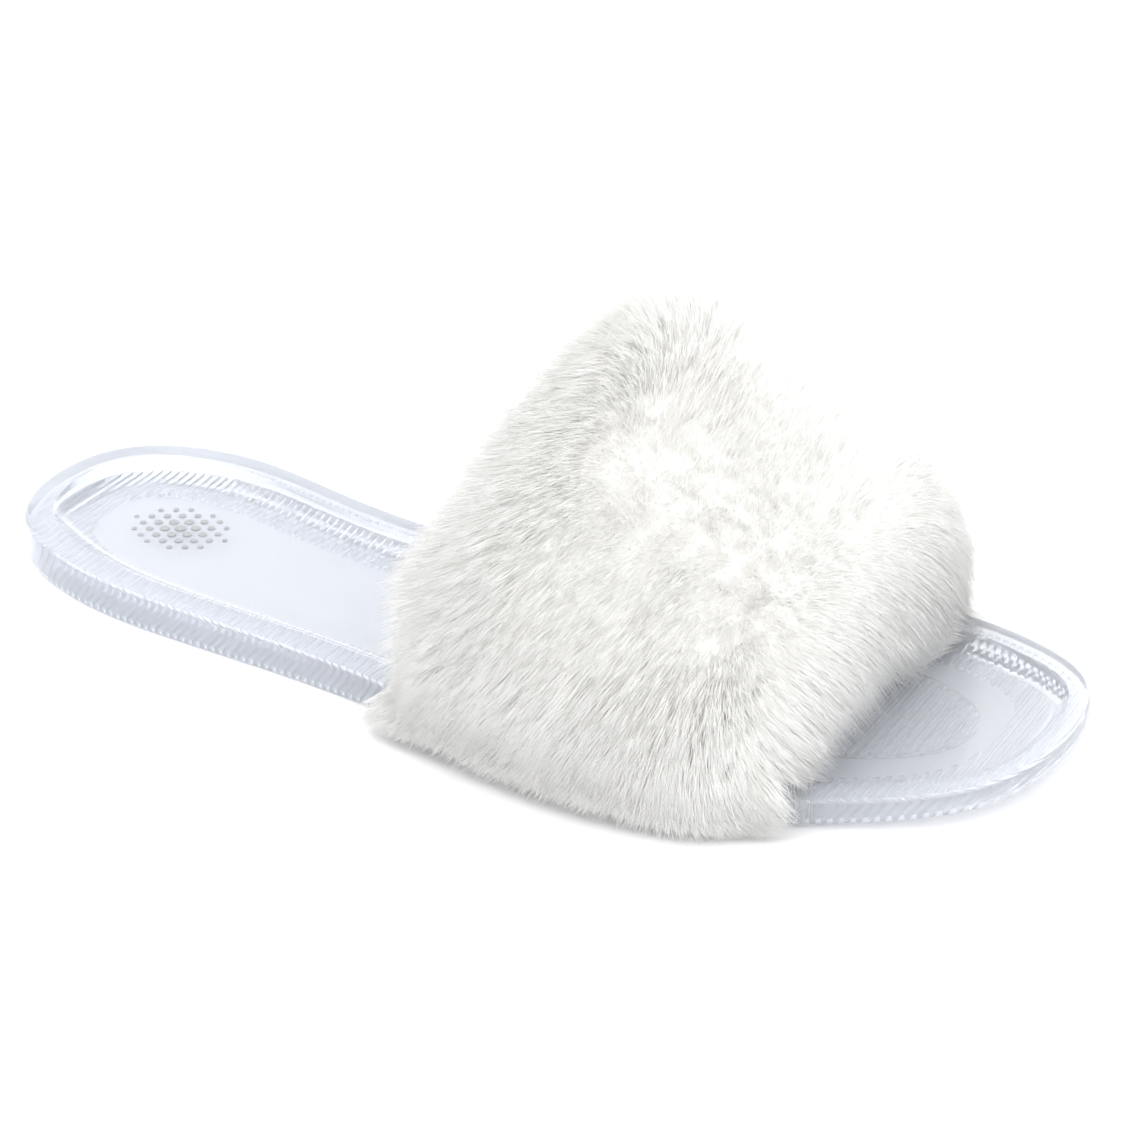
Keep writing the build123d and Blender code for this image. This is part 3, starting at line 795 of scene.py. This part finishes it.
# ------------------------------------------------------------------ layers of the band
def shell(name, s_lo, s_hi, t_lo, t_hi, foot, material, ns=46, na=150, wobble=0.0, seed=1):
    """Closed curved sheet of the band between two offsets, with slight unevenness."""
    wave, wave2 = Lattice(seed, 0.07, 0.03), Lattice(seed + 50, 0.2, 0.08)
    mid, half = 0.5 * (t_lo + t_hi), 0.5 * (t_hi - t_lo)
    s = np.linspace(s_lo, s_hi, ns)
    V = np.zeros((2, ns, na, 3))
    for i, si in enumerate(s):
        L = float(length_at(si))
        a = np.linspace(foot / L, 1 - foot / L, na)
        w = wobble * (0.5 * wave(np.full(na, si), a) + 0.7 * wave2(np.full(na, si), a))
        w = w * np.minimum(1, np.minimum(a, 1 - a) * 30)
        V[0, i] = on_strap(np.full(na, si), a, mid + half + w)
        V[1, i] = on_strap(np.full(na, si), a, mid - half + w)
    rows = []
    off = ns * na
    for i in range(ns - 1):
        for j in range(na - 1):
            a, b, c, d = i * na + j, i * na + j + 1, (i + 1) * na + j + 1, (i + 1) * na + j
            rows += [(a, b, c, d), (off + a, off + d, off + c, off + b)]
    rim = [(0, j) for j in range(na)] + [(i, na - 1) for i in range(1, ns)] + [(ns - 1, j) for j in range(na - 2, -1, -1)] + [(i, 0) for i in range(ns - 2, 0, -1)]
    for (i0, j0), (i1, j1) in zip(rim, rim[1:] + rim[:1]):
        a, b = i0 * na + j0, i1 * na + j1
        rows.append((b, a, off + a, off + b))
    obj = new_object(name, hide_in_model(V).reshape(-1, 3), rows, material)
    bm = bmesh.new()
    bm.from_mesh(obj.data)
    bmesh.ops.recalc_face_normals(bm, faces=bm.faces)
    bm.to_mesh(obj.data)
    bm.free()
    obj.data.set_sharp_from_angle(angle=math.radians(50))
    M = 0.5 * (V[0] + V[1])
    e1, e2 = M[1:, :-1] - M[:-1, :-1], M[:-1, 1:] - M[:-1, :-1]
    area = float(np.linalg.norm(np.cross(e1, e2), axis=2).sum()) * 1e-6
    across = float(np.linalg.norm(np.diff(M[:, na // 2], axis=0), axis=1).sum()) * 1e-3
    along = float(np.linalg.norm(np.diff(M[0], axis=0), axis=1).sum()) * 1e-3
    return obj, area, across, along


def tape(name, edge, inward, material, na=170, seed=7):
    """Edge tape folded round the band's edge at station edge; inward is +1 where the band lies ahead of it."""
    t_out, t_in, thick, wide = 0.60, -6.86, 0.52, 6.9
    wave = Lattice(seed, 0.3, 0.02)
    path = [(wide, t_out)] + [(x, t_out) for x in np.linspace(wide - 0.8, 0.6, 7)]
    path += [(0.02 - 0.45 + 0.5 * (1 - math.sin(k)), t_out - 0.5 * (1 - math.cos(k))) for k in np.linspace(0.2, math.pi / 2, 4)]
    down = [(-0.43, t) for t in np.linspace(t_out - 0.9, t_in + 0.9, 9)]
    path += down
    path += [(0.02 - 0.45 + 0.5 * (1 - math.sin(k)), t_in + 0.5 * (1 - math.cos(k))) for k in np.linspace(math.pi / 2, 0.2, 4)]
    path += [(x, t_in) for x in np.linspace(0.6, wide - 0.8, 7)] + [(wide, t_in)]
    P = np.array(path)
    d = np.gradient(P, axis=0)
    d /= np.linalg.norm(d, axis=1, keepdims=True)
    N = np.c_[-d[:, 1], d[:, 0]]
    centre = np.array([3.0, -3.1])
    if np.mean(np.sum(N * (P - centre), axis=1)) < 0:
        N = -N
    outer, inner = P + N * thick * 0.25, P - N * thick * 0.75
    m = len(P)
    loop = np.vstack([outer, inner[::-1]])
    L = float(length_at(edge))
    a = np.linspace(0.35 / L, 1 - 0.35 / L, na)
    V = np.zeros((na, 2 * m, 3))
    for k in range(2 * m):
        s = np.full(na, edge + inward * loop[k, 0] / STRAP_LEN)
        V[:, k] = on_strap(s, a, loop[k, 1] + 0.10 * wave(np.full(na, 0.3 + 0.02 * k), a))
    rows = []
    n = 2 * m
    for i in range(na - 1):
        for k in range(n):
            k2 = (k + 1) % n
            rows.append((i * n + k, i * n + k2, (i + 1) * n + k2, (i + 1) * n + k))
    for k in range(m - 1):
        p, q = k, k + 1
        r, t = n - 1 - k, n - 2 - k
        rows.append((p, r, t, q))
        base = (na - 1) * n
        rows.append((base + p, base + q, base + t, base + r))
    obj = new_object(name, hide_in_model(V).reshape(-1, 3), rows, material)
    bm = bmesh.new()
    bm.from_mesh(obj.data)
    bmesh.ops.recalc_face_normals(bm, faces=bm.faces)
    bad = sum(1 for e in bm.edges if len(e.link_faces) != 2)
    bm.to_mesh(obj.data)
    bm.free()
    obj.data.set_sharp_from_angle(angle=math.radians(60))
    wide_m = float(np.linalg.norm(np.diff(P, axis=0), axis=1).sum()) * 1e-3
    mid = np.linalg.norm(np.diff(V[:, m // 2], axis=0), axis=1).sum() * 1e-3
    print(name, "open edges", bad, "flat", wide_m, mid)
    return obj, wide_m, float(mid)


def stitches(name, station_mm, count, material):
    """A row of lockstitches on the foot side: short twisted two-ply loops dipping into the tape at their ends."""
    edge_s = station_mm / STRAP_LEN
    L = float(length_at(edge_s))
    V, F = [], []
    for k in range(count):
        q = 4.0 + (k + 0.5) * (L - 8.0) / count
        for ply in (0, 1):
            base = len(V)
            steps, sides = 12, 6
            for i in range(steps + 1):
                u = i / steps
                twist = 2 * math.pi * 1.5 * u + math.pi * ply
                lift = math.sin(math.pi * min(max(u, 0.0), 1.0)) ** 0.45
                cs, ct = 0.11 * math.cos(twist), 0.11 * math.sin(twist)
                for j in range(sides):
                    ang = 2 * math.pi * j / sides
                    r = 0.13 * (0.35 + 0.65 * min(1.0, 6 * u, 6 * (1 - u)))
                    ds = cs + r * math.cos(ang)
                    dt = -7.30 - 0.10 * lift + ct + r * math.sin(ang)
                    V.append(on_strap(np.array(edge_s + ds / STRAP_LEN), np.array((q - 1.3 + 2.6 * u) / L), np.array(dt)))
            for i in range(steps):
                for j in range(sides):
                    j2 = (j + 1) % sides
                    F.append((base + i * sides + j, base + i * sides + j2, base + (i + 1) * sides + j2, base + (i + 1) * sides + j))
            F.append(tuple(base + j for j in range(sides))[::-1])
            F.append(tuple(base + steps * sides + j for j in range(sides)))
    obj = new_object(name, hide_in_model(np.array(V)), F, material)
    bm = bmesh.new()
    bm.from_mesh(obj.data)
    bmesh.ops.recalc_face_normals(bm, faces=bm.faces)
    bm.to_mesh(obj.data)
    bm.free()
    return obj


def cloth(name, low, high, scale, strength, depth, rough=0.9):
    m = Mat(name)
    v = m.coords((1, 1, 1))
    w = m.node("ShaderNodeTexWave", wave_type="BANDS", bands_direction="X")
    w.inputs["Scale"].default_value = scale
    w.inputs["Distortion"].default_value = 1.36
    w.inputs["Detail"].default_value = 2.0
    w.inputs["Detail Scale"].default_value = 2.0
    m.link(v, w.inputs["Vector"])
    mix = m.node("ShaderNodeMath", operation="ADD")
    m.link(w.outputs["Fac"], mix.inputs[0])
    m.link(m.noise(v, 2600.0, 3.0, 0.6), mix.inputs[1])
    half = m.node("ShaderNodeMath", operation="MULTIPLY")
    half.inputs[1].default_value = 0.5
    m.link(mix.outputs["Value"], half.inputs[0])
    m.link(m.ramp(half.outputs["Value"], [(0.25, low), (0.75, high)]), m.p.inputs["Base Color"])
    m.set(Roughness=rough, Specular_IOR_Level=0.2, Sheen_Weight=0.25, Sheen_Roughness=0.5)
    m.bump(half.outputs["Value"], strength, depth)
    return m.m


def take(obj, node):
    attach(obj, "root")
    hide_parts(node)
    return obj


T_BACK = (-BACKING_T, 0.0)
T_FOAM = (-BACKING_T - GAP - FOAM_T, -BACKING_T - GAP)
T_CORE = (T_FOAM[0] - GAP - CORE_T, T_FOAM[0] - GAP)
T_LIN = (T_CORE[0] - GAP - LINING_T, T_CORE[0] - GAP)

knit = cloth("knit_backing", (0.72, 0.71, 0.68), (0.86, 0.855, 0.83), 420.0, 0.5, 0.0002)
lining_mat = cloth("lining_cloth", (0.78, 0.775, 0.76), (0.91, 0.905, 0.89), 300.0, 0.5, 0.00025, 0.92)
tape_mat = cloth("edge_tape_weave", (0.80, 0.80, 0.79), (0.92, 0.92, 0.915), 640.0, 0.6, 0.0002, 0.7)

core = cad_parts["strap_core"]
backing, area_b, w_b, l_b = shell("fur_backing_cloth", 0.004, 0.996, *T_BACK, 0.3, knit, wobble=0.0, seed=31)
take(backing, "fur_backing")

foam_mat = Mat("foam")
fv = foam_mat.coords((1, 1, 1))
cell = foam_mat.node("ShaderNodeTexVoronoi")
cell.inputs["Scale"].default_value = 1300.0
foam_mat.link(fv, cell.inputs["Vector"])
foam_mat.link(foam_mat.ramp(cell.outputs["Distance"], [(0.1, (0.70, 0.69, 0.63)), (0.6, (0.88, 0.87, 0.82))]), foam_mat.p.inputs["Base Color"])
foam_mat.set(Roughness=0.95, Specular_IOR_Level=0.1)
foam_mat.bump(cell.outputs["Distance"], 0.7, 0.0003)
foam, area_f, w_f, l_f = shell("strap_foam_layer", 0.004, 0.996, T_FOAM[0], T_FOAM[1], 0.3, foam_mat.m, wobble=0.0, seed=33)
take(foam, "strap_foam")

lining, area_l, w_l, l_l = shell("strap_lining_cloth", 0.004, 0.996, *T_LIN, 0.3, lining_mat, wobble=0.05, seed=35)
take(lining, "strap_lining")

rear_tape, rw, rl = tape("rear_edge_tape_cloth", 0.0, 1, tape_mat, seed=41)
take(rear_tape, "rear_edge_tape")
front_tape, fw_, fl_ = tape("front_edge_tape_cloth", 1.0, -1, tape_mat, seed=43)
take(front_tape, "front_edge_tape")

thread = Mat("thread")
tv = thread.coords((1, 1, 1))
thread.link(thread.ramp(thread.noise(tv, 4200.0, 2.0, 0.6), [(0.3, (0.74, 0.74, 0.73)), (0.7, (0.90, 0.90, 0.89))]), thread.p.inputs["Base Color"])
thread.set(Roughness=0.55, Specular_IOR_Level=0.4, Sheen_Weight=0.2)
take(stitches("rear_topstitch_thread", 4.6, 40, thread.m), "rear_topstitch")
take(stitches("front_topstitch_thread", STRAP_LEN - 4.6, 25, thread.m), "front_topstitch")

ink = Mat("print_ink")
iv = ink.coords((1, 1, 1))
ink.link(ink.ramp(ink.noise(iv, 1500.0, 3.0, 0.6), [(0.3, (0.30, 0.31, 0.32)), (0.7, (0.42, 0.43, 0.44))]), ink.p.inputs["Base Color"])
ink.set(Roughness=0.38, Metallic=0.25)
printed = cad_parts["heel_print"]
printed.data.materials.clear()
printed.data.materials.append(ink.m)

web = Mat("core_web_plastic")
wv = web.coords((1, 1, 1))
web.link(web.ramp(web.noise(wv, 500.0, 3.0, 0.5), [(0.3, (0.80, 0.82, 0.85)), (0.7, (0.88, 0.895, 0.92))]), web.p.inputs["Base Color"])
web.set(Roughness=0.35)
core.data.materials.clear()
core.data.materials.append(web.m)


# ------------------------------------------------------------------ stage
def stage_material():
    m = Mat("pale_floor")
    vec = m.coords((1, 1, 1))
    col = m.ramp(m.noise(vec, 3.0), [(0.3, (0.88, 0.88, 0.885)), (0.7, (0.90, 0.90, 0.905))])
    m.link(col, m.p.inputs["Base Color"])
    m.set(Roughness=0.9, Specular_IOR_Level=0.1)
    return m.m


bpy.ops.mesh.primitive_plane_add(size=8.0, location=(0, 0, -0.0002))
floor = bpy.context.object
floor.name = "floor"
floor.data.materials.append(stage_material())

world = bpy.data.worlds.new("studio")
bpy.context.scene.world = world
world.use_nodes = True
bg = world.node_tree.nodes["Background"]
bg.inputs["Color"].default_value = (1.0, 1.0, 1.0, 1)
bg.inputs["Strength"].default_value = 1.36


def area(name, loc, aim, size, power, color=(1, 1, 1)):
    d = bpy.data.lights.new(name, "AREA")
    d.shape = "RECTANGLE"
    d.size, d.size_y = size
    d.energy = power
    d.color = color
    o = bpy.data.objects.new(name, d)
    bpy.context.scene.collection.objects.link(o)
    o.location = loc
    o.rotation_euler = (Vector(aim) - Vector(loc)).to_track_quat("-Z", "Y").to_euler()
    return o


area("key", (-0.35, -0.25, 1.1), (0.02, 0, 0.02), (0.9, 0.9), 5.0)
area("fill", (0.9, -0.9, 0.7), (0.02, 0, 0.03), (0.8, 0.8), 1.6)
area("back", (-0.45, 0.95, 0.17), (0.0, 0, 0.02), (1.5, 0.22), 1.0)
area("front", (0.95, -0.25, 0.40), (0.08, 0, 0.01), (0.7, 0.5), 1.9)
bpy.context.scene.view_settings.view_transform = "Standard"
bpy.context.scene.cycles.diffuse_bounces = 16
bpy.context.scene.cycles.max_bounces = 32
bpy.context.scene.cycles.transmission_bounces = 28
